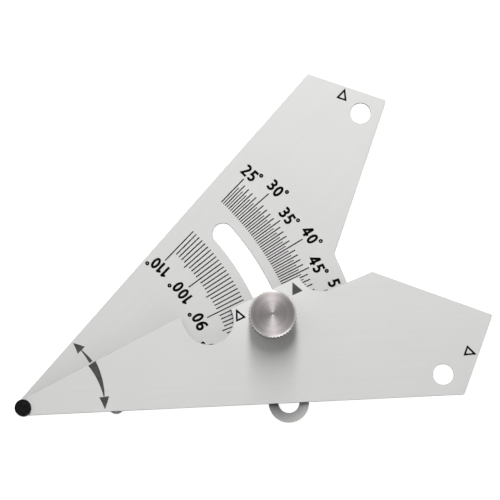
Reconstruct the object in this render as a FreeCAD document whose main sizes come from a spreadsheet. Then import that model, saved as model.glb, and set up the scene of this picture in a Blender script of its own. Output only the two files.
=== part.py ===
import FreeCAD, Part
import math
import os
import re

import Sketcher
from FreeCAD import Placement, Rotation, Vector

# Two-arm angle gauge, lying on its back with the thumb nut up.
# The origin is on the pivot axis, in the plane that the gauge lies on. +X runs along the front
# plate's measuring edge, +Y points into the angle between the arms, +Z points up.
# Lengths are in millimetres and angles in degrees.

SIZES = {
    # Both plates
    "plate_thickness": 1.0,
    "nose_radius": 1.95,
    "measuring_length": 110.0,
    "end_slope": 67.5,
    "wedge_angle": 25.0,
    "corner_rounding": 0.5,
    "edge_break": 0.08,
    "hang_hole_radius": 2.55,
    "plate_gap": 0.05,
    # Front plate, with the pointers
    "front_end_edge": 21.2,
    "upper_edge_slope": 20.25,
    "front_hole_along": 3.0,
    "front_hole_inset": 6.65,
    "pointer_angle": 22.5,
    "pointer_margin": 0.35,
    "inner_notch_place": 51.2,
    "inner_notch_radius": 6.1,
    "outer_notch_place": 82.1,
    "outer_notch_radius": 5.9,
    # Rear plate, with the scales
    "rear_end_edge": 20.8,
    "rear_hole_along": 15.7,
    "rear_hole_inset": 5.2,
    "heel_radius": 21.2,
    "toe_rounding": 2.0,
    "toe_angle": 47.5,
    "toe_edge_slope": 4.0,
    "scale_edge_angle": 46.5,
    "scale_plate_radius": 86.7,
    "lobe_radius": 5.05,
    # Readings, and the clamp that follows the slot
    "first_reading_angle": 25.0,
    "last_reading_angle": 65.0,
    "rest_reading_angle": 46.0,
    "clamp_angle": 17.5,
    "clamp_place": 66.25,
    "slot_width": 5.25,
    # Scale lines, cut into the rear plate
    "line_width": 0.3,
    "half_line_width": 0.24,
    "line_depth": 0.04,
    "outer_scale_start": 71.4,
    "outer_half_end": 77.0,
    "outer_degree_end": 78.5,
    "outer_five_end": 79.5,
    "outer_ten_end": 81.5,
    "inner_scale_start": 61.25,
    "inner_degree_end": 54.1,
    "inner_five_end": 53.25,
    "inner_ten_end": 51.1,
    # Pointer triangles and end marks
    "mark_height": 3.05,
    "mark_base": 2.8,
    "mark_stroke": 0.46,
    "mark_margin": 0.2,
    "inner_mark_place": 58.5,
    "outer_mark_place": 74.1,
    "end_mark_margin": 0.45,
    "front_end_mark_along": 10.45,
    "rear_end_mark_along": 10.05,
    # Pivot rivet
    "rivet_radius": 1.1,
    "rivet_head_radius": 2.1,
    "rivet_head_height": 0.8,
    "rivet_head_chamfer": 0.15,
    "pin_fit": 0.03,
    # Clamp screw: head under the rear plate, neck in the slot, flatted shank in the front plate
    "screw_radius": 2.0,
    "screw_head_radius": 4.5,
    "screw_head_height": 1.0,
    "screw_head_chamfer": 0.2,
    "screw_neck_radius": 2.45,
    "neck_relief": 0.1,
    "screw_reach": 5.2,
    "screw_end_chamfer": 0.4,
    "screw_flat": 1.6,
    # Washer and thumb nut
    "washer_radius": 4.5,
    "washer_thickness": 0.5,
    "washer_clearance": 0.15,
    "nut_radius": 6.0,
    "nut_height": 7.5,
    "nut_collar_radius": 4.0,
    "nut_collar_height": 2.0,
    "nut_chamfer": 0.55,
    "nut_bore_depth": 6.0,
    "drill_half_angle": 59.0,
    "nut_centre_radius": 0.35,
    "nut_centre_depth": 0.2,
    "knurl_depth": 0.28,
    "knurl_width": 0.8,
    "knurl_count": 44,
}

# Two places this near each other count as one
SAME_PLACE = 0.01

doc = FreeCAD.newDocument("angle_gauge")
sheet = doc.addObject("Spreadsheet::Sheet", "Sizes")
for row, (alias, value) in enumerate(SIZES.items(), start=1):
    sheet.set(f"A{row}", alias)
    sheet.set(f"B{row}", str(value))
    sheet.setAlias(f"B{row}", alias)
doc.recompute()


def bound(expression):
    """Name the sheet's cells in an expression, so that it can drive another object."""
    return re.sub("[a-z_]+", lambda word: ("Sizes." if word[0] in SIZES else "") + word[0], expression)


def value_of(expression):
    return float(sheet.evalExpression(bound(expression)))


def polar(radius, degrees):
    angle = math.radians(degrees)
    return Vector(radius * math.cos(angle), radius * math.sin(angle), 0)


def angle_of(vector):
    return math.degrees(math.atan2(vector.y, vector.x))


def new_body(label):
    body = doc.addObject("PartDesign::Body", label)
    body.Label = label
    return body


def place(body, x="0", y="0", z="0", turn="0"):
    """Put a body at its seat, turned about the upright axis."""
    body.Placement = Placement(Vector(0, 0, 0), Rotation(Vector(0, 0, 1), value_of(turn)))
    for axis, expression in (("x", x), ("y", y), ("z", z)):
        body.setExpression(f"Placement.Base.{axis}", bound(expression))
    body.setExpression("Placement.Rotation.Angle", bound(turn))


class Drawing:
    """A sketch on one of its own body's planes, with dimensions bound to the sheet."""

    # How a sketch numbers its axes, and the points of a line or an arc
    ORIGIN = ACROSS = -1
    UPRIGHT = -2
    START, END, CENTRE = range(1, 4)

    def __init__(self, body, name, plane="XY_Plane", height="0", turn="0"):
        self.body = body
        self.sketch = body.newObject("Sketcher::SketchObject", name)
        base = next(item for item in body.Origin.OriginFeatures if item.Role == plane)
        self.sketch.AttachmentSupport = (base, [""])
        self.sketch.MapMode = "FlatFace"
        turned = Rotation(Vector(0, 0, 1), value_of(turn))
        self.sketch.AttachmentOffset = Placement(Vector(0, 0, 0), turned)
        self.sketch.setExpression("AttachmentOffset.Base.z", bound(height))
        self.sketch.setExpression("AttachmentOffset.Rotation.Angle", bound(turn))

    def line(self, start, end):
        return self.sketch.addGeometry(Part.LineSegment(start, end), False)

    def guide(self, start, end):
        return self.sketch.addGeometry(Part.LineSegment(start, end), True)

    def circle(self, centre, radius):
        return self.sketch.addGeometry(Part.Circle(centre, Vector(0, 0, 1), radius), False)

    def arc(self, centre, radius, start_degrees, end_degrees):
        circle = Part.Circle(centre, Vector(0, 0, 1), radius)
        start, end = math.radians(start_degrees), math.radians(end_degrees)
        return self.sketch.addGeometry(Part.ArcOfCircle(circle, start, end), False)

    def rule(self, kind, *places):
        self.sketch.addConstraint(Sketcher.Constraint(kind, *places))

    def size(self, name, expression, kind, *places):
        value = value_of(expression)
        value = math.radians(value) if kind == "Angle" else value
        index = self.sketch.addConstraint(Sketcher.Constraint(kind, *places, value))
        self.sketch.renameConstraint(index, name)
        self.sketch.setExpression(f"Constraints.{name}", bound(expression))

    def at_origin(self, item, point):
        self.rule("Coincident", item, point, self.ORIGIN, self.START)

    def join(self, first, first_point, second, second_point):
        self.rule("Coincident", first, first_point, second, second_point)

    def blend(self, first, first_point, second, second_point):
        self.rule("Tangent", first, first_point, second, second_point)

    def ray(self, name, angle, length):
        """Draw a guide line from the pivot, at an angle to the measuring edge."""
        ray = self.guide(Vector(0, 0, 0), polar(value_of(length), value_of(angle)))
        self.at_origin(ray, self.START)
        self.size(name + "_angle", angle, "Angle", ray)
        self.size(name + "_length", length, "Distance", ray)
        return ray

    def outline(self, name, corners):
        """Draw a closed outline of straight lines through (x, y) pairs of expressions."""
        points = [Vector(value_of(x), value_of(y), 0) for x, y in corners]
        following = points[1:] + points[:1]
        lines = [self.line(start, end) for start, end in zip(points, following)]
        for index, (x, y) in enumerate(corners):
            self.join(lines[index - 1], self.END, lines[index], self.START)
            if value_of(x) == 0:
                self.rule("PointOnObject", lines[index], self.START, self.UPRIGHT)
            else:
                self.size(f"{name}_x{index}", x, "DistanceX", lines[index], self.START)
            if value_of(y) == 0:
                self.rule("PointOnObject", lines[index], self.START, self.ACROSS)
            else:
                self.size(f"{name}_y{index}", y, "DistanceY", lines[index], self.START)


def finish(feature):
    """Work a new feature out, and stop where it didn't come out."""
    doc.recompute()
    if "Invalid" in feature.State or feature.Shape.isNull() or not feature.Shape.isValid():
        raise ValueError(f"{feature.Name} failed: {feature.State}")
    return feature


def pad(drawing, name, length):
    feature = drawing.body.newObject("PartDesign::Pad", name)
    feature.Profile = drawing.sketch
    feature.setExpression("Length", bound(length))
    return finish(feature)


def pocket(drawing, name, depth):
    """Cut down from the sketch's plane, and make sure that metal was removed."""
    before = drawing.body.Shape.Volume
    feature = drawing.body.newObject("PartDesign::Pocket", name)
    feature.Profile = drawing.sketch
    feature.setExpression("Length", bound(depth))
    finish(feature)
    if not feature.Shape.Volume < before:
        raise ValueError(name + " removed nothing")
    return feature


def repeat_round(body, name, feature, spread, count):
    """Repeat a cut round the body's upright axis, over the angle that the copies span."""
    pattern = body.newObject("PartDesign::PolarPattern", name)
    pattern.Originals = [feature]
    axis = next(item for item in body.Origin.OriginFeatures if item.Role == "Z_Axis")
    pattern.Axis = (axis, [""])
    pattern.setExpression("Angle", bound(spread))
    pattern.setExpression("Occurrences", bound(count))
    body.Tip = pattern
    return finish(pattern)


def turn_solid(body, name, corners):
    """Turn a half section, given as (radius, height) expressions, round the upright axis."""
    section = Drawing(body, name + "_section", plane="XZ_Plane")
    section.outline("corner", corners)
    feature = body.newObject("PartDesign::Revolution", name)
    feature.Profile = section.sketch
    feature.ReferenceAxis = (section.sketch, ["V_Axis"])
    feature.Angle = 360
    return finish(feature)


def round_corners(body, name, feature, corners):
    """Round the upright edges that stand at the given corners of a plate."""
    edges = []
    for index, edge in enumerate(feature.Shape.Edges, start=1):
        middle = edge.CenterOfMass
        upright = edge.BoundBox.ZLength > value_of("plate_thickness") / 2
        near = any(math.hypot(middle.x - c.x, middle.y - c.y) < SAME_PLACE for c in corners)
        if upright and near:
            edges.append(f"Edge{index}")
    rounding = body.newObject("PartDesign::Fillet", name)
    rounding.Base = (feature, edges)
    rounding.setExpression("Radius", bound("corner_rounding"))
    return finish(rounding)


def break_edges(body, name, feature):
    """Take the sharp edge off both faces of a plate."""
    faces = []
    for index, face in enumerate(feature.Shape.Faces, start=1):
        if face.BoundBox.ZLength < SAME_PLACE:
            faces.append(f"Face{index}")
    chamfer = body.newObject("PartDesign::Chamfer", name)
    chamfer.Base = (feature, faces)
    chamfer.setExpression("Size", bound("edge_break"))
    return finish(chamfer)


# Levels of the stack, from the resting plane up
REAR_PLATE_LEVEL = "screw_head_height"
FRONT_PLATE_LEVEL = "screw_head_height + plate_thickness + plate_gap"
WASHER_LEVEL = f"{FRONT_PLATE_LEVEL} + plate_thickness"
NUT_LEVEL = f"{WASHER_LEVEL} + washer_thickness"
CLAMP_X = "clamp_place * cos(clamp_angle)"
CLAMP_Y = "clamp_place * sin(clamp_angle)"
PIVOT_HOLE = "rivet_radius + pin_fit"


def end_hole(drawing, name, end_edge, side, along, inset):
    """Draw the hang hole, placed from the far corner along the end edge and in from it."""
    slope = f"{side} * end_slope"
    centre_x = f"measuring_length + {along} * cos({slope}) - {inset} * sin(end_slope)"
    centre_y = f"{side} * ({along} * sin(end_slope) + {inset} * cos(end_slope) - nose_radius)"
    centre = Vector(value_of(centre_x), value_of(centre_y), 0)
    hole = drawing.circle(centre, value_of("hang_hole_radius"))
    drawing.size(name + "_radius", "hang_hole_radius", "Radius", hole)
    drawing.size(name + "_inset", inset, "Distance", hole, drawing.CENTRE, end_edge)
    drawing.size(name + "_height", centre_y, "DistanceY", hole, drawing.CENTRE)


def pivot_hole(drawing):
    hole = drawing.circle(Vector(0, 0, 0), value_of(PIVOT_HOLE))
    drawing.at_origin(hole, drawing.CENTRE)
    drawing.size("pivot_hole", PIVOT_HOLE, "Radius", hole)


def flatted_hole(drawing):
    """Draw the round hole with two flats that keeps the clamp screw from turning."""
    radius = value_of("screw_radius + pin_fit")
    flat = value_of("screw_flat + pin_fit")
    centre = Vector(value_of(CLAMP_X), value_of(CLAMP_Y), 0)
    turn = value_of("clamp_angle")
    open_angle = math.degrees(math.asin(flat / radius))
    left = drawing.arc(centre, radius, turn + 180 - open_angle, turn + 180 + open_angle)
    right = drawing.arc(centre, radius, turn - open_angle, turn + open_angle)
    corner = [centre + polar(radius, turn + side) for side in
              (open_angle, 180 - open_angle, 180 + open_angle, -open_angle)]
    upper = drawing.line(corner[1], corner[0])
    lower = drawing.line(corner[2], corner[3])
    drawing.join(left, drawing.START, upper, drawing.START)
    drawing.join(upper, drawing.END, right, drawing.END)
    drawing.join(left, drawing.END, lower, drawing.START)
    drawing.join(lower, drawing.END, right, drawing.START)
    drawing.join(left, drawing.CENTRE, right, drawing.CENTRE)
    drawing.rule("Equal", left, right)
    drawing.size("clamp_hole_x", CLAMP_X, "DistanceX", left, drawing.CENTRE)
    drawing.size("clamp_hole_y", CLAMP_Y, "DistanceY", left, drawing.CENTRE)
    drawing.size("clamp_hole_radius", "screw_radius + pin_fit", "Radius", left)
    drawing.size("clamp_hole_turn", "clamp_angle", "Angle", upper)
    drawing.rule("Parallel", upper, lower)
    for name, side in (("upper_flat", upper), ("lower_flat", lower)):
        drawing.size(name, "screw_flat + pin_fit", "Distance", left, drawing.CENTRE, side)


def front_outline(drawing):
    """Draw the front plate's edge, anticlockwise from the round nose."""
    nose = value_of("nose_radius")
    wedge = value_of("wedge_angle")
    slope = value_of("end_slope")
    rise = value_of("upper_edge_slope")
    pointer = value_of("pointer_angle")
    margin = value_of("pointer_margin")
    inner_radius = value_of("inner_notch_radius")
    inner_centre = polar(value_of("inner_notch_place"), pointer)
    outer_radius = value_of("outer_notch_radius")
    outer_centre = polar(value_of("outer_notch_place"), pointer)

    far = Vector(value_of("measuring_length"), -nose, 0)
    end_top = far + polar(value_of("front_end_edge"), slope)
    notch_foot = outer_centre + polar(outer_radius, rise - 90)
    back = polar(1, slope + 90)
    across = polar(1, rise + 90)
    shoulder = end_top + back * ((notch_foot - end_top).dot(across) / back.dot(across))
    outer_lift = math.degrees(math.asin(margin / outer_radius))
    inner_lift = math.degrees(math.asin(margin / inner_radius))
    ledge_outer = outer_centre + polar(outer_radius, pointer + 180 - outer_lift)
    ledge_inner = inner_centre + polar(inner_radius, pointer + inner_lift)
    throat = value_of("inner_notch_place - inner_notch_radius")
    throat_angle = wedge + math.degrees(math.asin(nose / throat))

    d = drawing
    nose_arc = d.arc(Vector(0, 0, 0), nose, wedge + 90, 270)
    measuring = d.line(Vector(0, -nose, 0), far)
    end_edge = d.line(far, end_top)
    shoulder_edge = d.line(end_top, shoulder)
    upper_edge = d.line(shoulder, notch_foot)
    outer_notch = d.arc(outer_centre, outer_radius, pointer + 180 - outer_lift, rise + 270)
    ledge = d.line(ledge_inner, ledge_outer)
    inner_notch = d.arc(inner_centre, inner_radius, pointer + 180, pointer + 360 + inner_lift)
    throat_arc = d.arc(Vector(0, 0, 0), throat, pointer, throat_angle)
    inner_edge = d.line(polar(nose, wedge + 90), polar(throat, throat_angle))
    pointer_ray = d.ray("pointer", "pointer_angle", "outer_notch_place")

    d.at_origin(nose_arc, d.CENTRE)
    d.size("nose", "nose_radius", "Radius", nose_arc)
    d.blend(nose_arc, d.END, measuring, d.START)
    d.rule("Horizontal", measuring)
    d.size("length", "measuring_length", "DistanceX", measuring, d.END)
    d.join(measuring, d.END, end_edge, d.START)
    d.size("end_slope", "end_slope", "Angle", end_edge)
    d.size("end_length", "front_end_edge", "Distance", end_edge)
    d.join(end_edge, d.END, shoulder_edge, d.START)
    d.rule("Perpendicular", end_edge, shoulder_edge)
    d.join(shoulder_edge, d.END, upper_edge, d.START)
    d.size("upper_slope", "upper_edge_slope - 180", "Angle", upper_edge)
    d.blend(upper_edge, d.END, outer_notch, d.END)
    d.join(outer_notch, d.CENTRE, pointer_ray, d.END)
    d.size("outer_notch", "outer_notch_radius", "Radius", outer_notch)
    d.join(outer_notch, d.START, ledge, d.END)
    d.rule("Parallel", ledge, pointer_ray)
    d.size("margin", "pointer_margin", "Distance", d.ORIGIN, d.START, ledge)
    d.join(ledge, d.START, inner_notch, d.END)
    d.size("inner_notch", "inner_notch_radius", "Radius", inner_notch)
    d.rule("PointOnObject", inner_notch, d.CENTRE, pointer_ray)
    d.size("inner_place", "inner_notch_place", "Distance", d.ORIGIN, d.START, inner_notch, d.CENTRE)
    d.at_origin(throat_arc, d.CENTRE)
    d.blend(inner_notch, d.START, throat_arc, d.START)
    d.join(throat_arc, d.END, inner_edge, d.END)
    d.size("wedge", "wedge_angle", "Angle", inner_edge)
    d.blend(inner_edge, d.START, nose_arc, d.START)
    end_hole(d, "hang", end_edge, "1", "front_hole_along", "front_hole_inset")
    return [far, end_top, shoulder, polar(throat, throat_angle)]


def rear_outline(drawing):
    """Draw the rear plate's edge, anticlockwise from the round nose, with the metal below +X."""
    nose = value_of("nose_radius")
    wedge = value_of("wedge_angle")
    slope = value_of("end_slope")
    heel = value_of("heel_radius")
    toe = value_of("toe_rounding")
    toe_angle = value_of("toe_angle")
    toe_slope = value_of("toe_edge_slope")
    edge_angle = value_of("scale_edge_angle")
    outer = value_of("scale_plate_radius")
    lobe = value_of("lobe_radius")

    heel_angle = -wedge - math.degrees(math.asin(nose / heel))
    toe_centre = polar(heel + toe, -toe_angle)
    toe_foot = toe_centre + polar(toe, -toe_slope - 90)
    along = polar(1, -edge_angle)
    across = polar(1, -edge_angle - 90)
    drop = polar(1, -toe_slope)
    toe_run = -toe_foot.dot(across) / drop.dot(across)
    toe_end = toe_foot + drop * toe_run
    tail = polar(value_of("clamp_place"), -value_of("last_reading_angle - clamp_angle"))
    half_chord = math.sqrt(lobe ** 2 - tail.dot(across) ** 2)
    lobe_start = along * (tail.dot(along) - half_chord)
    lobe_end = along * (tail.dot(along) + half_chord)
    far = Vector(value_of("measuring_length"), nose, 0)
    end_low = far + polar(value_of("rear_end_edge"), -slope)
    back = polar(1, -slope - 90)
    middle = -end_low.dot(back)
    back_run = middle - math.sqrt(middle ** 2 - end_low.Length ** 2 + outer ** 2)
    waist = end_low + back * back_run

    d = drawing
    nose_arc = d.arc(Vector(0, 0, 0), nose, 90, 270 - wedge)
    inner_edge = d.line(polar(nose, -wedge - 90), polar(heel, heel_angle))
    heel_arc = d.arc(Vector(0, 0, 0), heel, -toe_angle, heel_angle)
    toe_arc = d.arc(toe_centre, toe, 180 - toe_angle, 270 - toe_slope)
    toe_edge = d.line(toe_foot, toe_end)
    first_edge = d.line(toe_end, lobe_start)
    lobe_arc = d.arc(tail, lobe, angle_of(lobe_start - tail), angle_of(lobe_end - tail) + 360)
    second_edge = d.line(lobe_end, along * outer)
    outer_arc = d.arc(Vector(0, 0, 0), outer, -edge_angle, angle_of(waist))
    back_edge = d.line(waist, end_low)
    end_edge = d.line(far, end_low)
    measuring = d.line(Vector(0, nose, 0), far)
    edge_ray = d.ray("scale_edge", "- scale_edge_angle", "scale_plate_radius")
    tail_ray = d.ray("tail", "clamp_angle - last_reading_angle", "clamp_place")
    toe_ray = d.ray("toe", "- toe_angle", "heel_radius + toe_rounding")

    d.at_origin(nose_arc, d.CENTRE)
    d.size("nose", "nose_radius", "Radius", nose_arc)
    d.blend(nose_arc, d.END, inner_edge, d.START)
    d.size("wedge", "- wedge_angle", "Angle", inner_edge)
    d.join(inner_edge, d.END, heel_arc, d.END)
    d.at_origin(heel_arc, d.CENTRE)
    d.size("heel", "heel_radius", "Radius", heel_arc)
    d.join(toe_arc, d.CENTRE, toe_ray, d.END)
    d.blend(heel_arc, d.START, toe_arc, d.START)
    d.blend(toe_arc, d.END, toe_edge, d.START)
    d.size("toe_slope", "- toe_edge_slope", "Angle", toe_edge)
    d.join(toe_edge, d.END, first_edge, d.START)
    d.rule("PointOnObject", first_edge, d.START, edge_ray)
    d.join(first_edge, d.END, lobe_arc, d.START)
    d.rule("PointOnObject", first_edge, d.END, edge_ray)
    d.join(lobe_arc, d.CENTRE, tail_ray, d.END)
    d.size("lobe", "lobe_radius", "Radius", lobe_arc)
    d.join(lobe_arc, d.END, second_edge, d.START)
    d.rule("PointOnObject", second_edge, d.START, edge_ray)
    d.join(second_edge, d.END, edge_ray, d.END)
    d.at_origin(outer_arc, d.CENTRE)
    d.join(outer_arc, d.START, second_edge, d.END)
    d.join(outer_arc, d.END, back_edge, d.START)
    d.join(back_edge, d.END, end_edge, d.END)
    d.rule("Perpendicular", back_edge, end_edge)
    d.size("end_slope", "- end_slope", "Angle", end_edge)
    d.size("end_length", "rear_end_edge", "Distance", end_edge)
    d.join(end_edge, d.START, measuring, d.END)
    d.rule("Horizontal", measuring)
    d.size("length", "measuring_length", "DistanceX", measuring, d.END)
    d.blend(measuring, d.START, nose_arc, d.START)
    end_hole(d, "hang", end_edge, "-1", "rear_hole_along", "rear_hole_inset")
    return [far, end_low, waist, along * outer]


def arc_slot(drawing):
    """Draw the slot that the clamp screw travels in, from one end reading to the other."""
    first = "first_reading_angle - clamp_angle"
    last = "last_reading_angle - clamp_angle"
    middle = value_of("clamp_place")
    half = value_of("slot_width / 2")
    first_angle = -value_of(first)
    last_angle = -value_of(last)

    d = drawing
    head_ray = d.ray("slot_head", "clamp_angle - first_reading_angle", "clamp_place")
    tail_ray = d.ray("slot_tail", "clamp_angle - last_reading_angle", "clamp_place")
    far_wall = d.arc(Vector(0, 0, 0), middle + half, last_angle, first_angle)
    near_wall = d.arc(Vector(0, 0, 0), middle - half, last_angle, first_angle)
    head = d.arc(polar(middle, first_angle), half, first_angle, first_angle + 180)
    tail = d.arc(polar(middle, last_angle), half, last_angle + 180, last_angle + 360)
    d.at_origin(far_wall, d.CENTRE)
    d.at_origin(near_wall, d.CENTRE)
    d.join(head, d.CENTRE, head_ray, d.END)
    d.rule("PointOnObject", tail, d.CENTRE, tail_ray)
    d.size("slot_end", "slot_width / 2", "Radius", head)
    d.blend(far_wall, d.END, head, d.START)
    d.blend(near_wall, d.END, head, d.END)
    d.blend(near_wall, d.START, tail, d.START)
    d.blend(far_wall, d.START, tail, d.END)


def scale_line(drawing, reading, near, far, width):
    """Draw one scale line, which the pointers meet when the arms stand at its reading."""
    angle = value_of("pointer_angle") - reading
    aside = polar(value_of(width) / 2, angle + 90)
    start = polar(value_of(near), angle)
    end = polar(value_of(far), angle)
    corners = [start - aside, end - aside, end + aside, start + aside]
    for index, corner in enumerate(corners):
        drawing.line(corners[index - 1], corner)


def scale_lines(drawing):
    """Draw both scales: the outer one in half degrees, the inner one in degrees."""
    first = value_of("first_reading_angle")
    last = value_of("last_reading_angle")
    both_slopes = 2 * value_of("end_slope")
    for step in range(round(2 * (last - first)) + 1):
        edge_angle = first + step / 2
        end_angle = both_slopes - edge_angle
        outer_end = "outer_half_end"
        inner_end = None
        width = "half_line_width"
        if edge_angle % 1 == 0:
            outer_end = "outer_degree_end"
            inner_end = "inner_degree_end"
            width = "line_width"
        if edge_angle % 5 == 0:
            outer_end = "outer_ten_end" if edge_angle % 10 == 0 else "outer_five_end"
            inner_end = "inner_ten_end" if end_angle % 10 == 0 else "inner_five_end"
        scale_line(drawing, edge_angle, "outer_scale_start", outer_end, width)
        if inner_end:
            scale_line(drawing, edge_angle, inner_end, "inner_scale_start", width)


def triangle(tip_x, tip_y, height, base):
    """Give the corners of a mark whose tip points along +Y."""
    return [(tip_x, tip_y), (f"{tip_x} - {base} / 2", f"{tip_y} - {height}"),
            (f"{tip_x} + {base} / 2", f"{tip_y} - {height}")]


TIP_STEP = "mark_stroke / sin(atan(mark_base / 2 / mark_height))"
INSIDE_HEIGHT = f"(mark_height - mark_stroke - {TIP_STEP})"
INSIDE_BASE = f"(mark_base * {INSIDE_HEIGHT} / mark_height)"


def cut_mark(body, name, turn, tip_x, tip_y, outlined):
    """Cut a triangular mark into the top face, either whole or as an outline."""
    drawing = Drawing(body, name + "_shape", height="plate_thickness", turn=turn)
    drawing.outline("mark", triangle(tip_x, tip_y, "mark_height", "mark_base"))
    if outlined:
        inside_tip = f"{tip_y} - {TIP_STEP}"
        drawing.outline("inside", triangle(tip_x, inside_tip, INSIDE_HEIGHT, INSIDE_BASE))
    return pocket(drawing, name, "line_depth")


END_EDGE_REACH = "measuring_length * sin(end_slope) + nose_radius * cos(end_slope)"
END_EDGE_START = "measuring_length * cos(end_slope) - nose_radius * sin(end_slope)"


def make_front_plate():
    body = new_body("front_plate")
    drawing = Drawing(body, "front_edge")
    corners = front_outline(drawing)
    pivot_hole(drawing)
    flatted_hole(drawing)
    plate = pad(drawing, "front_sheet", "plate_thickness")
    rounded = round_corners(body, "front_corners", plate, corners)
    break_edges(body, "front_edge_break", rounded)
    tip = "- mark_margin"
    cut_mark(body, "inner_pointer", "pointer_angle", "inner_mark_place", tip, outlined=True)
    cut_mark(body, "outer_pointer", "pointer_angle", "outer_mark_place", tip, outlined=False)
    cut_mark(body, "front_end_mark", "end_slope - 180", f"- ({END_EDGE_START} + front_end_mark_along)",
             f"{END_EDGE_REACH} - end_mark_margin", outlined=True)
    place(body, z=FRONT_PLATE_LEVEL)
    return body


def make_rear_plate():
    body = new_body("rear_plate")
    drawing = Drawing(body, "rear_edge")
    corners = rear_outline(drawing)
    pivot_hole(drawing)
    arc_slot(drawing)
    plate = pad(drawing, "rear_sheet", "plate_thickness")
    rounded = round_corners(body, "rear_corners", plate, corners)
    break_edges(body, "rear_edge_break", rounded)
    cut_mark(body, "rear_end_mark", "- end_slope", f"{END_EDGE_START} + rear_end_mark_along",
             f"{END_EDGE_REACH} - end_mark_margin", outlined=True)
    scales = Drawing(body, "scale_lines", height="plate_thickness")
    scale_lines(scales)
    pocket(scales, "scale_grooves", "line_depth")
    place(body, z=REAR_PLATE_LEVEL, turn="rest_reading_angle")
    return body


def make_pivot_rivet():
    """One black rivet holds both noses: a head in front, the closed tail behind."""
    body = new_body("pivot_rivet")
    chamfer = "rivet_head_chamfer"
    rim = f"rivet_head_radius - {chamfer}"
    top = f"{WASHER_LEVEL} + rivet_head_height"
    turn_solid(body, "rivet", [
        ("0", "0"), (rim, "0"), ("rivet_head_radius", chamfer),
        ("rivet_head_radius", REAR_PLATE_LEVEL), ("rivet_radius", REAR_PLATE_LEVEL),
        ("rivet_radius", WASHER_LEVEL), ("rivet_head_radius", WASHER_LEVEL),
        ("rivet_head_radius", f"{top} - {chamfer}"), (rim, top), ("0", top)])
    return body


def make_clamp_screw():
    """The screw's head bears on the rear plate, and its flats lie in the front plate's hole."""
    body = new_body("clamp_screw")
    chamfer = "screw_head_chamfer"
    neck_top = f"{REAR_PLATE_LEVEL} + plate_thickness - neck_relief"
    top = f"{NUT_LEVEL} + screw_reach"
    turn_solid(body, "screw", [
        ("0", "0"), (f"screw_head_radius - {chamfer}", "0"), ("screw_head_radius", chamfer),
        ("screw_head_radius", REAR_PLATE_LEVEL), ("screw_neck_radius", REAR_PLATE_LEVEL),
        ("screw_neck_radius", neck_top), ("screw_radius", neck_top),
        ("screw_radius", f"{top} - screw_end_chamfer"), ("screw_radius - screw_end_chamfer", top),
        ("0", top)])
    flats = Drawing(body, "flats_shape", height=top)
    wide = "screw_neck_radius"
    for name, side in (("upper", ""), ("lower", "- ")):
        flats.outline(name, [(f"- {wide}", f"{side}screw_flat"), (wide, f"{side}screw_flat"),
                             (wide, f"{side}{wide}"), (f"- {wide}", f"{side}{wide}")])
    pocket(flats, "flats", f"{top} - ({neck_top})")
    place(body, x=CLAMP_X, y=CLAMP_Y, turn="clamp_angle")
    return body


def make_nut_washer():
    body = new_body("nut_washer")
    drawing = Drawing(body, "washer_shape")
    for name, radius in (("rim", "washer_radius"), ("hole", "screw_radius + washer_clearance")):
        circle = drawing.circle(Vector(0, 0, 0), value_of(radius))
        drawing.at_origin(circle, drawing.CENTRE)
        drawing.size(name, radius, "Radius", circle)
    pad(drawing, "washer", "washer_thickness")
    place(body, x=CLAMP_X, y=CLAMP_Y, z=WASHER_LEVEL, turn="clamp_angle")
    return body


def make_thumb_nut():
    """A turned nut with a blind bore, a collar below and a knurled head above."""
    body = new_body("thumb_nut")
    bore = "screw_radius + pin_fit"
    rim = "nut_radius - nut_chamfer"
    turn_solid(body, "nut", [
        (bore, "0"), ("nut_collar_radius", "0"), ("nut_collar_radius", "nut_collar_height"),
        (rim, "nut_collar_height"), ("nut_radius", "nut_collar_height + nut_chamfer"),
        ("nut_radius", "nut_height - nut_chamfer"), (rim, "nut_height"),
        ("nut_centre_radius", "nut_height"), ("0", "nut_height - nut_centre_depth"),
        ("0", f"nut_bore_depth + ({bore}) / tan(drill_half_angle)"), (bore, "nut_bore_depth")])
    knurl = Drawing(body, "knurl_shape", height="nut_height")
    outside = "nut_radius + knurl_depth"
    knurl.outline("groove", [("nut_radius - knurl_depth", "0"), (outside, "- knurl_width"),
                             (outside, "knurl_width")])
    groove = pocket(knurl, "knurl_groove", "nut_height")
    repeat_round(body, "knurl", groove, "360", "knurl_count")
    place(body, x=CLAMP_X, y=CLAMP_Y, z=NUT_LEVEL, turn="clamp_angle")
    return body


parts = [make_front_plate(), make_rear_plate(), make_pivot_rivet(), make_clamp_screw(),
         make_nut_washer(), make_thumb_nut()]

doc.recompute()
for item in doc.Objects:
    if "Invalid" in item.State or "Error" in item.State:
        raise ValueError(f"{item.Name} failed: {item.State}")
for part in parts:
    if part.Shape.isNull() or not part.Shape.isValid():
        raise ValueError(part.Label + " has no valid shape")
os.makedirs("parts", exist_ok=True)
for part in parts:
    part.Shape.exportStep(f"parts/{part.Label}.step")
    print(part.Label, round(part.Shape.Volume, 2), part.Shape.BoundBox)
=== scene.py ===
import math

import bmesh
import bpy
from mathutils import Matrix, Vector


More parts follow.
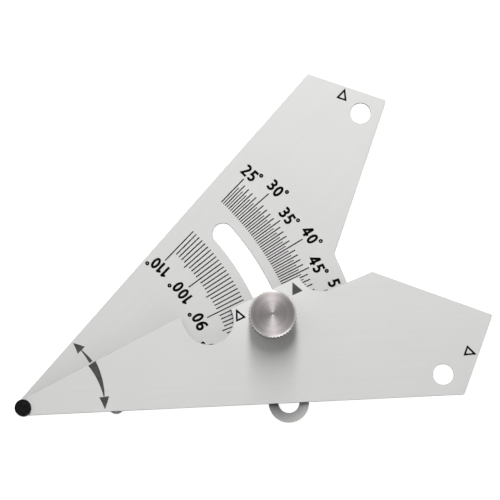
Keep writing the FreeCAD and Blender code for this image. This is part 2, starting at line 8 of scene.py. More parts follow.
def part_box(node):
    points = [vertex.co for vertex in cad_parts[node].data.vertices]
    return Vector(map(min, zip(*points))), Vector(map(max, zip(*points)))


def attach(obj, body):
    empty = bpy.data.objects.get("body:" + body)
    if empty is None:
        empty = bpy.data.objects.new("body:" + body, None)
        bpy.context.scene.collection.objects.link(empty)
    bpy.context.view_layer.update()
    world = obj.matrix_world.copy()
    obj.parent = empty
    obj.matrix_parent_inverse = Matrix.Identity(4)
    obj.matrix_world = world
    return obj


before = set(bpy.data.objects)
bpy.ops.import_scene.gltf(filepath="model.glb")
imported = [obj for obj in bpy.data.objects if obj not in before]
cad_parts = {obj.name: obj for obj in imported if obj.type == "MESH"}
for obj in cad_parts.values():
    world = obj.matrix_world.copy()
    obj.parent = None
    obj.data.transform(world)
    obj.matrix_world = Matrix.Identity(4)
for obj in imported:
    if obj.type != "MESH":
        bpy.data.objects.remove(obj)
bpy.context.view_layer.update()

# Camera
# It looks down on the gauge from a little nearer than overhead, so the nut's near side just shows.
# The gauge lies turned a few degrees in the view, and the long lens keeps its angles true.
MM = 0.001
VIEW_WIDTH = 125 * MM
VIEW_CENTRE = Vector((58.37, 36.75, 2.5)) * MM
VIEW_ROLL = math.radians(2.75)
VIEW_ELEVATION = math.radians(85)
LENS = 300
SENSOR = 36

view_right = Vector((math.cos(VIEW_ROLL), -math.sin(VIEW_ROLL), 0))
view_far = Vector((math.sin(VIEW_ROLL), math.cos(VIEW_ROLL), 0))
overhead = Vector((0, 0, 1))
towards_camera = overhead * math.sin(VIEW_ELEVATION) - view_far * math.cos(VIEW_ELEVATION)


def aim(item, place, backwards, right):
    """Put a camera or lamp at a place, looking against the given direction."""
    upwards = backwards.cross(right)
    turned = Matrix((right, upwards, backwards)).transposed().to_4x4()
    item.matrix_world = Matrix.Translation(place) @ turned


camera_data = bpy.data.cameras.new("camera")
camera_data.lens = LENS
camera_data.sensor_width = SENSOR
camera_data.clip_start = 10 * MM
camera = bpy.data.objects.new("camera", camera_data)
bpy.context.scene.collection.objects.link(camera)
aim(camera, VIEW_CENTRE + towards_camera * VIEW_WIDTH * LENS / SENSOR, towards_camera, view_right)
bpy.context.scene.camera = camera
bpy.context.scene.view_settings.view_transform = "Standard"

# Studio light and floor
# A tall narrow lamp on the far side throws the nut's shadow towards the viewer. A weak one stands to
# its left, a low one at the near side lights the nut's chamfer, and the room round them is even and
# pale. The floor is white paper.
WALL_LEVEL = 0.75
CEILING_LEVEL = 0.20
WALL_TOP = 0.45
FLOOR_WIDTH = 12.0
FLOOR_COLOUR = (0.8, 0.8, 0.8, 1)
FLOOR_GLOW = 0.85
WHITE = (1, 1, 1, 1)


def area_lamp(name, compass, elevation, distance, width, height, watts):
    """Stand a lamp at a compass angle, clockwise from the view's far side, and aim it at the gauge."""
    turn, lift = math.radians(compass), math.radians(elevation)
    sideways = view_right * math.cos(turn) - view_far * math.sin(turn)
    outwards = view_right * math.sin(turn) + view_far * math.cos(turn)
    backwards = outwards * math.cos(lift) + overhead * math.sin(lift)
    data = bpy.data.lights.new(name, "AREA")
    data.shape = "RECTANGLE"
    data.size = width
    data.size_y = height
    data.energy = watts
    lamp = bpy.data.objects.new(name, data)
    bpy.context.scene.collection.objects.link(lamp)
    aim(lamp, VIEW_CENTRE + backwards * distance, backwards, -sideways)


area_lamp("far_lamp", compass=0, elevation=46, distance=0.45, width=0.084, height=0.45, watts=2.0)
area_lamp("left_lamp", compass=-60, elevation=62, distance=0.8, width=0.4, height=0.4, watts=0.5)
area_lamp("near_lamp", compass=158, elevation=11, distance=0.6, width=0.7, height=0.14, watts=0.8)

MIX_FACTOR, MIX_FIRST, MIX_SECOND, MIX_RESULT = 0, 6, 7, 2


class Wire:
    """One socket of a material's nodes. Arithmetic on wires adds Math nodes."""

    def __init__(self, tree, socket=None):
        self.tree = tree
        self.socket = socket

    def node(self, kind, settings=None, sockets=None, output=0):
        """Add a node, its settings first, then its sockets' values or wires, and give one output."""
        node = self.tree.nodes.new("ShaderNode" + kind)
        for name, value in (settings or {}).items():
            setattr(node, name, value)
        for name, value in (sockets or {}).items():
            if isinstance(value, Wire):
                self.tree.links.new(value.socket, node.inputs[name])
            else:
                node.inputs[name].default_value = value
        return Wire(self.tree, node.outputs[output]) if node.outputs else None

    def maths(self, operation, *values):
        return self.node("Math", {"operation": operation}, dict(enumerate(values)))

    def __add__(self, other):
        return self.maths("ADD", self, other)

    __radd__ = __add__

    def __sub__(self, other):
        return self.maths("SUBTRACT", self, other)

    def __rsub__(self, other):
        return self.maths("SUBTRACT", other, self)

    def __mul__(self, other):
        return self.maths("MULTIPLY", self, other)

    __rmul__ = __mul__

    def clamped(self):
        return self.node("Clamp", {}, {"Value": self})

    def step(self, low, high):
        """Rise smoothly from 0 at the low value to 1 at the high one."""
        return self.node("MapRange", {"interpolation_type": "SMOOTHSTEP"},
                         {"Value": self, "From Min": low, "From Max": high})


def blank_material(name):
    """Start a material and give a wire into its empty node tree."""
    material = bpy.data.materials.new(name)
    material.use_nodes = True
    material.node_tree.nodes.clear()
    return material, Wire(material.node_tree)


def mixed(wire, factor, first, second):
    """Mix two colours by a factor. The node's colour sockets share their names, so they go by number."""
    return wire.node("Mix", {"data_type": "RGBA"},
                     {MIX_FACTOR: factor, MIX_FIRST: first, MIX_SECOND: second}, output=MIX_RESULT)


world = bpy.data.worlds.new("room")
world.use_nodes = True
world.node_tree.nodes.clear()
room = Wire(world.node_tree)
direction = room.node("TexCoord", output="Generated")
rise = room.node("SeparateXYZ", {}, {"Vector": direction}, output="Z")
brightness = WALL_LEVEL - rise.step(0, WALL_TOP) * (WALL_LEVEL - CEILING_LEVEL)
walls = room.node("Background", {}, {"Color": WHITE, "Strength": brightness})
room.node("OutputWorld", {}, {"Surface": walls})
bpy.context.scene.world = world


def floor_paper():
    """White paper that keeps a trace of shadow, and shows white to the camera and in metal."""
    material, wire = blank_material("floor_paper")
    seen = wire.node("LightPath", output="Is Camera Ray")
    in_gloss = wire.node("LightPath", output="Is Glossy Ray")
    in_glass = wire.node("LightPath", output="Is Transmission Ray")
    paper = wire.node("BsdfDiffuse", {}, {"Color": FLOOR_COLOUR})
    shown = (seen + in_gloss + in_glass).clamped()
    glow = wire.node("Emission", {}, {"Color": WHITE, "Strength": shown * FLOOR_GLOW})
    both = wire.node("AddShader", {}, {0: paper, 1: glow})
    wire.node("OutputMaterial", {}, {"Surface": both})
    return material


def new_piece(name, mesh_maker, material):
    """Make an object at the origin from a bmesh, with its place in its mesh."""
    mesh = bpy.data.meshes.new(name)
    mesh_maker.to_mesh(mesh)
    mesh_maker.free()
    piece = bpy.data.objects.new(name, mesh)
    piece.data.materials.append(material)
    bpy.context.scene.collection.objects.link(piece)
    return piece


floor_mesh = bmesh.new()
bmesh.ops.create_grid(floor_mesh, x_segments=1, y_segments=1, size=FLOOR_WIDTH / 2)
new_piece("floor", floor_mesh, floor_paper())

# Rear plate
# One stainless sheet, blanked to its outline and brushed along its measuring edge, with painted shade
# on its side walls. It carries both scales, and turns about the pivot under the front plate, whose
# edge throws painted shade on its lobe.
REST_READING = 46.0
REAR_TONE = (0.73, 0.73, 0.72, 1)
REAR_PALE = (0.80, 0.80, 0.79, 1)
STEEL_METALLIC = 0.35
STEEL_ROUGHNESS = 0.78
STEEL_GLOSS_RANGE = 0.08
BRUSH_GRAIN = 1100.0
FINE_GRAIN = 4 * BRUSH_GRAIN
BRUSH_STRETCH = 0.035
BRUSH_DEPTH = 0.004 * MM
BRUSH_RELIEF = 0.35
BRUSH_CONTRAST = (0.3, 0.7)
CLOUD_SCALE = 40
PALE_SHARE = 0.4
EDGE_BREAK = 0.08 * MM
EDGE_FADE = 0.02 * MM
# Painted shade on the side walls of both plates.
EDGE_PAINTED_SHADE = (0.06, 0.06, 0.06, 1)
# Painted shade: a dark spot round this middle on the rear plate's lobe, by the front plate's edge.
LOBE_SHADE_MIDDLE = Vector((64.5, 1, 2)) * MM
LOBE_SHADE_REACH = (3 * MM, 11 * MM)
LOBE_PAINTED_SHADE = (0.20, 0.20, 0.198, 1)


def noise(wire, place, scale, detail):
    """Give random clouds, about as many to a metre as the scale says."""
    return wire.node("TexNoise", {}, {"Vector": place, "Scale": scale, "Detail": detail})


def brushed_steel(plate, grain_angle, tone, pale, painted_spot, painted_spot_reach, painted_spot_tone):
    """Satin sheet: streaks along one direction, slow clouds, a painted spot in the caller's tone, and
    painted shade on the side walls.
    """
    material, wire = blank_material(plate + "_steel")
    place = wire.node("TexCoord", output="Object")
    along = wire.node("Mapping", {}, {"Vector": place, "Rotation": (0, 0, -grain_angle)})
    streaks = wire.node("Mapping", {}, {"Vector": along, "Scale": (BRUSH_STRETCH, 1, 1)})
    fine = noise(wire, streaks, FINE_GRAIN, 2)
    broad = noise(wire, streaks, BRUSH_GRAIN, 3)
    cloud = noise(wire, place, CLOUD_SCALE, 2)
    light = (broad * 0.5 + cloud * 0.5).step(*BRUSH_CONTRAST)
    away = wire.node("VectorMath", {"operation": "DISTANCE"}, {0: place, 1: painted_spot}, output="Value")
    face = mixed(wire, light * PALE_SHARE, tone, pale)
    # Painted spot: the caller's tone near its middle, fading out over its reach.
    face = mixed(wire, away.step(*painted_spot_reach), painted_spot_tone, face)
    low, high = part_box(plate)
    level = wire.node("SeparateXYZ", {}, {"Vector": place}, output="Z")
    # Painted shade: the side walls between the edge breaks take the dark tone.
    above = level.step(low.z + EDGE_FADE, low.z + EDGE_BREAK)
    below = 1 - level.step(high.z - EDGE_BREAK, high.z - EDGE_FADE)
    colour = mixed(wire, above * below, face, EDGE_PAINTED_SHADE)
    height = fine * 0.6 + broad * 0.4
    bump = wire.node("Bump", {}, {"Strength": BRUSH_RELIEF, "Distance": BRUSH_DEPTH, "Height": height})
    surface = wire.node("BsdfPrincipled", {}, {
        "Base Color": colour, "Metallic": STEEL_METALLIC,
        "Roughness": STEEL_ROUGHNESS + (broad - 0.5) * STEEL_GLOSS_RANGE, "Normal": bump})
    wire.node("OutputMaterial", {}, {"Surface": surface})
    return material


def dress(node, material):
    """Give a solid of the frame its finish."""
    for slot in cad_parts[node].material_slots:
        slot.material = material


dress("rear_plate", brushed_steel("rear_plate", math.radians(REST_READING), REAR_TONE, REAR_PALE,
                                  LOBE_SHADE_MIDDLE, LOBE_SHADE_REACH, LOBE_PAINTED_SHADE))

# Scale lines on the rear plate
# Hair lines etched into the sheet and filled with black. The outer scale reads the edge's angle in
# half degrees from 25 to 65, the inner one the angle between the two ends in whole degrees.
POINTER_ANGLE = 22.5
FIRST_READING = 25
LAST_READING = 65
END_SCALE_SUM = 135
LINE_WIDTH = 0.29 * MM
HALF_LINE_WIDTH = 0.23 * MM
GROOVE_DEPTH = 0.04 * MM
INK_DROP = 0.008 * MM
OUTER_SCALE_START = 71.4 * MM
OUTER_ENDS = {"half": 77.0 * MM, "degree": 78.5 * MM, "five": 79.5 * MM, "ten": 81.5 * MM}
INNER_SCALE_START = 61.25 * MM
INNER_ENDS = {"degree": 54.1 * MM, "five": 53.25 * MM, "ten": 51.1 * MM}
INK_BLACK = (0.001, 0.001, 0.001, 1)
INK_WORN = (0.004, 0.004, 0.004, 1)
INK_SPECKLE = 3500
INK_BLOTCH = 500
INK_CONTRAST = (0.35, 0.7)
INK_DEPTH = 0.003 * MM
INK_RELIEF = 0.2
INK_ROUGHNESS = 0.45
INK_GLOSS_RANGE = 0.2
INK_SPECULAR = 0.06

rear_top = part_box("rear_plate")[1].z
front_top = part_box("front_plate")[1].z


def ink(name, colour, worn):
    """Baked enamel ink, a little uneven in tone and gloss."""
    material, wire = blank_material(name)
    place = wire.node("TexCoord", output="Object")
    speckle = noise(wire, place, INK_SPECKLE, 3)
    blotch = noise(wire, place, INK_BLOTCH, 2)
    tone = mixed(wire, (speckle * 0.6 + blotch * 0.4).step(*INK_CONTRAST), colour, worn)
    bump = wire.node("Bump", {}, {"Strength": INK_RELIEF, "Distance": INK_DEPTH, "Height": speckle})
    surface = wire.node("BsdfPrincipled", {}, {
        "Base Color": tone, "Roughness": INK_ROUGHNESS + blotch * INK_GLOSS_RANGE,
        "Specular IOR Level": INK_SPECULAR, "Normal": bump})
    wire.node("OutputMaterial", {}, {"Surface": surface})
    return material


def spoke(degrees):
    """Turn +X to an angle about the pivot."""
    return Matrix.Rotation(math.radians(degrees), 4, "Z")


def add_scale_line(mesh, reading, near, far, width):
    """Fill one groove, which lies under the pointer when the arms stand at its reading."""
    angle = REST_READING + POINTER_ANGLE - reading
    middle = Matrix.Translation(((near + far) / 2, 0, rear_top - (GROOVE_DEPTH + INK_DROP) / 2))
    size = Matrix.Diagonal((abs(far - near), width, GROOVE_DEPTH - INK_DROP, 1))
    bmesh.ops.create_cube(mesh, size=1, matrix=spoke(angle) @ middle @ size)


def grade(reading):
    """Say which length of line a reading has."""
    for step, name in ((10, "ten"), (5, "five"), (1, "degree")):
        if reading % step == 0:
            return name
    return "half"


black_ink = ink("black_ink", INK_BLACK, INK_WORN)
lines = bmesh.new()
for half_degrees in range(2 * FIRST_READING, 2 * LAST_READING + 1):
    reading = half_degrees / 2
    halfway = grade(reading) == "half"
    width = HALF_LINE_WIDTH if halfway else LINE_WIDTH
    add_scale_line(lines, reading, OUTER_SCALE_START, OUTER_ENDS[grade(reading)], width)
    if not halfway:
        inner_end = INNER_ENDS[grade(END_SCALE_SUM - reading)]
        add_scale_line(lines, reading, INNER_SCALE_START, inner_end, width)
scale_lines = new_piece("scale_lines", lines, black_ink)
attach(scale_lines, "rear_arm")

# Numerals on the rear plate
# Bold black figures with degree signs, printed on the sheet. The outer ones stand on their lines'
# ends with their feet to the pivot, the inner ones hang under theirs with their heads to it.
FIGURE_HEIGHT = 3.05
FIGURE_STROKE = 0.63
FIGURE_GAP = 0.4
DEGREE_RADIUS = 0.32
DEGREE_STROKE = 0.42
DEGREE_GAP = 0.1
ARC_STEPS = 16
MITRE = 0.55
PRINT_THICKNESS = 0.01 * MM
SEAM_SHARE = 0.01
OUTER_FIVE_FEET = 80.05 * MM
OUTER_TEN_FEET = 82.1 * MM
INNER_FEET = 50.55 * MM
OUTER_SHIFT = 0.6
INNER_SHIFTS = {110: 0.25, 100: 0.33, 90: 0.45, 80: 0.8, 70: 1.0}

# Each figure's width and strokes, in millimetres from its left foot. A stroke joins (x, y) points
# and arcs, given as (x, y, half width, half height, first angle, last angle).
FIGURES = {
    "0": (1.8, [[(0.90, 1.525, 0.62, 1.245, 0, 360)]]),
    "1": (1.15, [[(0.12, 2.26), (0.87, 2.78)], [(0.87, 3.05), (0.87, 0)]]),
    "2": (1.8, [[(0.84, 2.17, 0.62, 0.60, 150, -35), (0.38, 0.28), (1.8, 0.28)]]),
    "3": (1.85, [[(0.83, 2.18, 0.66, 0.59, 145, -90), (0.50, 1.59)],
                 [(0.52, 1.59), (0.85, 0.935, 0.72, 0.655, 90, -145)]]),
    "4": (2.05, [[(1.38, 2.92), (0.30, 0.93), (2.05, 0.93)], [(1.44, 3.05), (1.44, 0)]]),
    "5": (1.7, [[(1.62, 2.77), (0.50, 2.77), (0.42, 1.60), (0.74, 0.98, 0.68, 0.70, 120, -140)]]),
    "6": (1.9, [[(0.95, 0.97, 0.67, 0.69, 0, 360)],
                [(0.28, 0.93), (1.35, 1.55, 1.07, 1.22, 180, 90), (1.60, 2.77)]]),
    "7": (1.75, [[(0.06, 2.77), (1.48, 2.77), (0.68, 0)]]),
    "8": (1.9, [[(0.95, 2.24, 0.57, 0.53, 0, 360)], [(0.95, 0.96, 0.67, 0.68, 0, 360)]]),
    "9": (1.9, [[(0.95, 2.08, 0.67, 0.69, 0, 360)],
                [(1.62, 2.12), (0.55, 1.50, 1.07, 1.22, 0, -90), (0.30, 0.28)]]),
}


def stroke_points(stroke):
    """Walk along a stroke's points and arcs."""
    points = []
    for step in stroke:
        if len(step) == 2:
            points.append(Vector(step))
            continue
        x, y, half_width, half_height, first, last = step
        for index in range(ARC_STEPS + 1):
            angle = math.radians(first + (last - first) * index / ARC_STEPS)
            points.append(Vector((x + half_width * math.cos(angle), y + half_height * math.sin(angle))))
    return points


def lay_strip(mesh, middles, asides, place):
    """Bend a flat strip along a path, reaching aside to both hands of each of its points."""
    count = len(middles) - 1
    strip = bmesh.ops.create_grid(mesh, x_segments=count, y_segments=1, size=0.5)
    for vertex in strip["verts"]:
        index = round((vertex.co.x + 0.5) * count)
        hand = math.copysign(1, vertex.co.y)
        vertex.co = place @ (middles[index] + asides[index] * hand).to_3d()


def add_stroke(mesh, points, width, place):
    """Draw a stroke of even width, with mitred corners and square ends."""
    ways = [(end - start).normalized() for start, end in zip(points, points[1:])]
    closed = (points[-1] - points[0]).length < width / 10
    before = [ways[-1] if closed else ways[0]] + ways
    after = ways + [ways[0] if closed else ways[-1]]
    asides = []
    for came, goes in zip(before, after):
        along = (came + goes).normalized()
        reach = width / 2 / max(along.dot(goes), MITRE)
        asides.append(Vector((-along.y, along.x)) * reach)
    lay_strip(mesh, points, asides, place)


def thicken(mesh, height):
    """Close a flat mesh's seams and raise all of its faces into a layer of the given height."""
    bmesh.ops.remove_doubles(mesh, verts=mesh.verts, dist=height * SEAM_SHARE)
    raised = bmesh.ops.extrude_face_region(mesh, geom=mesh.faces[:])
    tops = [item for item in raised["geom"] if isinstance(item, bmesh.types.BMVert)]
    bmesh.ops.translate(mesh, verts=tops, vec=(0, 0, height))
    bmesh.ops.recalc_face_normals(mesh, faces=mesh.faces)


def add_label(mesh, text, place, shift):
    """Draw figures and a degree sign, with the middle of the row shifted along from its place."""
    sign_width = 2 * DEGREE_RADIUS + DEGREE_STROKE
    gaps = FIGURE_GAP * (len(text) - 1) + DEGREE_GAP
    row = sum(FIGURES[figure][0] for figure in text) + gaps + sign_width
    left = shift - row / 2
    for figure in text:
        width, strokes = FIGURES[figure]
        foot = place @ Matrix.Translation((left, 0, 0))
        for stroke in strokes:
            add_stroke(mesh, stroke_points(stroke), FIGURE_STROKE, foot)
        left += width + FIGURE_GAP
    sign = (shift + row / 2 - sign_width / 2, FIGURE_HEIGHT, DEGREE_RADIUS, DEGREE_RADIUS, 0, 360)
    add_stroke(mesh, stroke_points([sign]), DEGREE_STROKE, place)


numerals = bmesh.new()
lift = Matrix.Translation((0, 0, rear_top))
for reading in range(FIRST_READING, LAST_READING + 1, 5):
    ray = lift @ spoke(REST_READING + POINTER_ANGLE - reading)
    feet = OUTER_FIVE_FEET if reading % 10 else OUTER_TEN_FEET
    outer_place = ray @ Matrix.Translation((feet, 0, 0)) @ spoke(-90) @ Matrix.Scale(MM, 4)
    add_label(numerals, str(reading), outer_place, OUTER_SHIFT)
    end_reading = END_SCALE_SUM - reading
    if end_reading in INNER_SHIFTS:
        inner_place = ray @ Matrix.Translation((INNER_FEET, 0, 0)) @ spoke(90) @ Matrix.Scale(MM, 4)
        add_label(numerals, str(end_reading), inner_place, INNER_SHIFTS[end_reading])
thicken(numerals, PRINT_THICKNESS)
scale_numerals = new_piece("scale_numerals", numerals, black_ink)
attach(scale_numerals, "rear_arm")

# Marks that the pointers and ends are read by
# Triangles etched into both sheets and filled with black or dark grey: an open one at each end, an
# open pointer for the inner scale and a filled one for the outer.
MARK_HEIGHT = 3.05
MARK_BASE = 2.8
MARK_STROKE = 0.46
MARK_FIT = 0.005
MARK_MARGIN = 0.2 * MM
INNER_MARK_PLACE = 58.5 * MM
OUTER_MARK_PLACE = 74.1 * MM
END_SLOPE = 67.5
NOSE_RADIUS = 1.95 * MM
MEASURING_LENGTH = 110 * MM
END_MARK_MARGIN = 0.45 * MM
FRONT_END_MARK_ALONG = 10.45 * MM
REAR_END_MARK_ALONG = 10.05 * MM
POINTER_GREY = (0.075, 0.080, 0.074, 1)
POINTER_WORN = (0.105, 0.112, 0.104, 1)


def hollow_out(mesh, stroke):
    """Leave only a border of the given width of a mesh's one face."""
    inside = mesh.faces[:]
    bmesh.ops.inset_region(mesh, faces=inside, thickness=stroke, use_boundary=True,
                           use_even_offset=True)
    bmesh.ops.delete(mesh, geom=inside, context="FACES_ONLY")


def mark(name, place, top, outlined, material, body):
    """Fill one etched triangle, whose tip points along +Y of its place. It is drawn in millimetres."""
    mesh = bmesh.new()
    corners = bmesh.ops.create_circle(mesh, segments=3, radius=1, cap_ends=True)["verts"]
    half = MARK_BASE / 2
    for corner, (x, y) in zip(corners, ((0, 0), (-half, -MARK_HEIGHT), (half, -MARK_HEIGHT))):
        corner.co = (x, y, 0)
    painted_rim = bmesh.ops.inset_region(mesh, faces=mesh.faces[:], thickness=MARK_FIT, use_boundary=True,
                                 use_even_offset=True)
    bmesh.ops.delete(mesh, geom=painted_rim["faces"], context="FACES")
    if outlined:
        hollow_out(mesh, MARK_STROKE - 2 * MARK_FIT)
    thicken(mesh, (GROOVE_DEPTH - INK_DROP) / MM)
    mesh.transform(place @ Matrix.Translation((0, 0, top - GROOVE_DEPTH)) @ Matrix.Scale(MM, 4))
    piece = new_piece(name, mesh, material)
    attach(piece, body)


grey_ink = ink("grey_ink", POINTER_GREY, POINTER_WORN)
slope = math.radians(END_SLOPE)
end_reach = MEASURING_LENGTH * math.sin(slope) + NOSE_RADIUS * math.cos(slope)
end_start = MEASURING_LENGTH * math.cos(slope) - NOSE_RADIUS * math.sin(slope)
pointer_side = spoke(POINTER_ANGLE)
mark("inner_pointer_ink", pointer_side @ Matrix.Translation((INNER_MARK_PLACE, -MARK_MARGIN, 0)),
     front_top, True, black_ink, "front_arm")
mark("outer_pointer_ink", pointer_side @ Matrix.Translation((OUTER_MARK_PLACE, -MARK_MARGIN, 0)),
     front_top, False, grey_ink, "front_arm")
front_end = Matrix.Translation((-end_start - FRONT_END_MARK_ALONG, end_reach - END_MARK_MARGIN, 0))
mark("front_end_ink", spoke(END_SLOPE - 180) @ front_end,
     front_top, True, black_ink, "front_arm")
rear_end = Matrix.Translation((end_start + REAR_END_MARK_ALONG, end_reach - END_MARK_MARGIN, 0))
mark("rear_end_ink", spoke(REST_READING - END_SLOPE) @ rear_end,
     rear_top, True, black_ink, "rear_arm")

# Double arrow at the nose
# Printed in dark grey on both plates: each half starts at the edge between the arms, tapers along an
# arc about the pivot and ends in a head at its own plate's measuring edge.
ARROW_RADIUS = 20.4 * MM
ARROW_HEAD_HALF = 1.25 * MM
ARROW_TIP = 0.02 * MM
REAR_SHAFT_WIDTHS = (0.95 * MM, 0.25 * MM)
FRONT_SHAFT_WIDTHS = (2.2 * MM, 0.3 * MM)
ARROW_GREY = (0.072, 0.072, 0.070, 1)
ARROW_WORN = (0.105, 0.105, 0.102, 1)

# The degrees from +X, about the pivot, where each shaft and head starts and ends.
REAR_SHAFT = (31.5, 42.25)
REAR_HEAD = (42.25, 49.85)
FRONT_SHAFT = (30.25, 5.25)
FRONT_HEAD = (5.0, -3.5)


def add_arc_strip(mesh, angles, widths, place):
    """Lay a strip along the arrow's arc, with a width at each end."""
    middles, asides = [], []
    for index in range(ARC_STEPS + 1):
        share = index / ARC_STEPS
        angle = math.radians(angles[0] + (angles[1] - angles[0]) * share)
        outwards = Vector((math.cos(angle), math.sin(angle)))
        middles.append(outwards * ARROW_RADIUS)
        asides.append(outwards * (widths[0] + (widths[1] - widths[0]) * share) / 2)
    lay_strip(mesh, middles, asides, place)


arrow_ink = ink("arrow_ink", ARROW_GREY, ARROW_WORN)


def arrow_half(name, shaft, widths, head, top, body):
    """Print one half of the double arrow."""
    mesh = bmesh.new()
    place = Matrix.Translation((0, 0, top))
    add_arc_strip(mesh, shaft, widths, place)
    add_arc_strip(mesh, head, (2 * ARROW_HEAD_HALF, ARROW_TIP), place)
    thicken(mesh, PRINT_THICKNESS)
    piece = new_piece(name, mesh, arrow_ink)
    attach(piece, body)


arrow_half("rear_arrow", REAR_SHAFT, REAR_SHAFT_WIDTHS, REAR_HEAD, rear_top, "rear_arm")
arrow_half("front_arrow", FRONT_SHAFT, FRONT_SHAFT_WIDTHS, FRONT_HEAD, front_top,
           "front_arm")

# Front plate
# The same stainless sheet as the rear one, brushed along its length. Its ledge between the two round
# notches carries the pointers and a lighter patch of painted light.
FRONT_TONE = (0.75, 0.75, 0.74, 1)
FRONT_PALE = (0.82, 0.82, 0.81, 1)
# Painted light: a lighter patch round the ledge's middle.
LEDGE_LIGHT_MIDDLE = Vector((60, 27, 3)) * MM
LEDGE_LIGHT_REACH = (2 * MM, 20 * MM)
LEDGE_PAINTED_LIGHT = (0.87, 0.87, 0.86, 1)
dress("front_plate", brushed_steel("front_plate", 0.0, FRONT_TONE, FRONT_PALE, LEDGE_LIGHT_MIDDLE,
                                   LEDGE_LIGHT_REACH, LEDGE_PAINTED_LIGHT))

# Pivot rivet
# A turned steel rivet through both noses, black-oxided before it was set. Its head keeps the lathe's
# fine rings, and the rear plate turns about it.
PIVOT = Vector((0, 0, 0))
RIVET_TONE = (0.001, 0.001, 0.001, 1)
RIVET_SCUFF = (0.012, 0.012, 0.012, 1)
RIVET_RING_PITCH = 0.22 * MM
RIVET_GRIT = 2500
RIVET_CONTRAST = (0.5, 0.9)
RIVET_DEPTH = 0.01 * MM
RIVET_RELIEF = 0.4
RIVET_ROUGHNESS = 0.4
RIVET_GLOSS_RANGE = 0.2
RIVET_SPECULAR = 0.12


def radius_from(wire, place, axis):
    """Give the distance from an upright axis."""
    from_axis = wire.node("Mapping", {}, {"Vector": place, "Location": (-axis.x, -axis.y, 0)})
    flat = wire.node("VectorMath", {"operation": "MULTIPLY"}, {0: from_axis, 1: (1, 1, 0)})
    return wire.node("VectorMath", {"operation": "LENGTH"}, {0: flat}, output="Value")


def turned_black():
    """Black oxide over lathe rings, scuffed a little on their crests."""
    material, wire = blank_material("turned_black")
    place = wire.node("TexCoord", output="Object")
    radius = radius_from(wire, place, PIVOT)
    rings = (radius * (2 * math.pi / RIVET_RING_PITCH)).maths("SINE")
    grit = noise(wire, place, RIVET_GRIT, 3)
    tone = mixed(wire, (rings * 0.3 + grit).step(*RIVET_CONTRAST), RIVET_TONE, RIVET_SCUFF)
    height = rings * 0.5 + grit
    bump = wire.node("Bump", {}, {"Strength": RIVET_RELIEF, "Distance": RIVET_DEPTH, "Height": height})
    surface = wire.node("BsdfPrincipled", {}, {
        "Base Color": tone, "Roughness": RIVET_ROUGHNESS + grit * RIVET_GLOSS_RANGE,
        "Specular IOR Level": RIVET_SPECULAR, "Normal": bump})
    wire.node("OutputMaterial", {}, {"Surface": surface})
    return material


dress("pivot_rivet", turned_black())

# Thumb nut
# Turned from stainless bar. Its top keeps the rings of the facing cut, which light up in two streaks.
# Its top chamfer is smoother and carries a painted highlight, and the knurled rim below it is painted
# dark as shade in its grooves.
NUT_TONE = (0.50, 0.47, 0.465, 1)
NUT_DARK = (0.36, 0.33, 0.33, 1)
NUT_CHAMFER_HIGHLIGHT = (0.62, 0.60, 0.59, 1)
NUT_KNURL_SHADE = (0.11, 0.105, 0.10, 1)
NUT_CHAMFER = 0.55 * MM
NUT_RING_PITCH = 0.45 * MM
NUT_ROUGHNESS = 0.51
NUT_STRETCH = 0.70
FACE_FADE = 0.05 * MM
KNURL_FADE = 0.1 * MM
LATHE_CLOUD = 300
LATHE_CONTRAST = (0.3, 0.75)
LATHE_DEPTH = 0.006 * MM
LATHE_RELIEF = 0.3
LATHE_TURN = 0.25
LATHE_GLOSS_RANGE = 0.06
RIM_GLOSS = 0.2


def lathe_rings(wire, radius, pitch):
    """Give the uneven rings that a lathe leaves, by their distance from its axis."""
    outwards = wire.node("CombineXYZ", {}, {"X": radius})
    return noise(wire, outwards, 1 / pitch, 3)


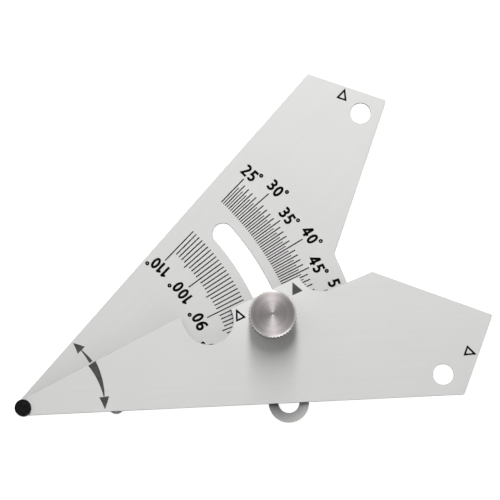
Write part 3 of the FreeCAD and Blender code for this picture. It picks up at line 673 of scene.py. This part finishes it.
def turned_nut(low, high):
    """Steel with lathe rings, whose streaks come from its stretched gloss, for the nut in a box. Its top
    chamfer has a painted highlight and its knurled side painted shade.
    """
    material, wire = blank_material("turned_nut")
    place = wire.node("TexCoord", output="Object")
    level = wire.node("SeparateXYZ", {}, {"Vector": place}, output="Z")
    radius = radius_from(wire, place, (low + high) / 2)
    rings = lathe_rings(wire, radius, NUT_RING_PITCH)
    cloud = noise(wire, place, LATHE_CLOUD, 2)
    face_edge = (high.x - low.x) / 2 - NUT_CHAMFER
    off_face = radius.step(face_edge - FACE_FADE, face_edge + FACE_FADE)
    upper = level.step(high.z - NUT_CHAMFER - KNURL_FADE, high.z - NUT_CHAMFER)
    face = mixed(wire, (rings * 0.7 + cloud * 0.3).step(*LATHE_CONTRAST), NUT_DARK, NUT_TONE)
    # Painted highlight on the top chamfer, and painted shade on the knurled side below it.
    painted_rim = mixed(wire, upper, NUT_KNURL_SHADE, NUT_CHAMFER_HIGHLIGHT)
    bump = wire.node("Bump", {}, {"Strength": LATHE_RELIEF, "Distance": LATHE_DEPTH, "Height": rings})
    surface = wire.node("BsdfPrincipled", {}, {
        "Base Color": mixed(wire, off_face, face, painted_rim), "Metallic": 1.0,
        "Roughness": NUT_ROUGHNESS + cloud * LATHE_GLOSS_RANGE - off_face * RIM_GLOSS,
        "Anisotropic": NUT_STRETCH, "Anisotropic Rotation": LATHE_TURN, "Normal": bump})
    wire.node("OutputMaterial", {}, {"Surface": surface})
    return material


dress("thumb_nut", turned_nut(*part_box("thumb_nut")))

# Washer and clamp screw
# Plain turned steel, almost hidden: the washer lies under the nut, and the screw comes up through
# the slot, with its low head on the rear plate's back.
SCREW_TONE = (0.60, 0.60, 0.59, 1)
SCREW_DARK = (0.48, 0.48, 0.47, 1)
SCREW_RING_PITCH = 0.11 * MM
SCREW_ROUGHNESS = 0.33
SCREW_STRETCH = 0.5


def turned_steel(name, low, high):
    """Plain steel with fine lathe rings round the upright axis of a box."""
    material, wire = blank_material(name)
    place = wire.node("TexCoord", output="Object")
    rings = lathe_rings(wire, radius_from(wire, place, (low + high) / 2), SCREW_RING_PITCH)
    cloud = noise(wire, place, LATHE_CLOUD, 2)
    colour = mixed(wire, (rings * 0.7 + cloud * 0.3).step(*LATHE_CONTRAST), SCREW_DARK, SCREW_TONE)
    bump = wire.node("Bump", {}, {"Strength": LATHE_RELIEF, "Distance": LATHE_DEPTH, "Height": rings})
    surface = wire.node("BsdfPrincipled", {}, {
        "Base Color": colour, "Metallic": 1.0, "Roughness": SCREW_ROUGHNESS + cloud * LATHE_GLOSS_RANGE,
        "Anisotropic": SCREW_STRETCH, "Anisotropic Rotation": LATHE_TURN, "Normal": bump})
    wire.node("OutputMaterial", {}, {"Surface": surface})
    return material


for node in ("nut_washer", "clamp_screw"):
    dress(node, turned_steel(node + "_steel", *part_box(node)))
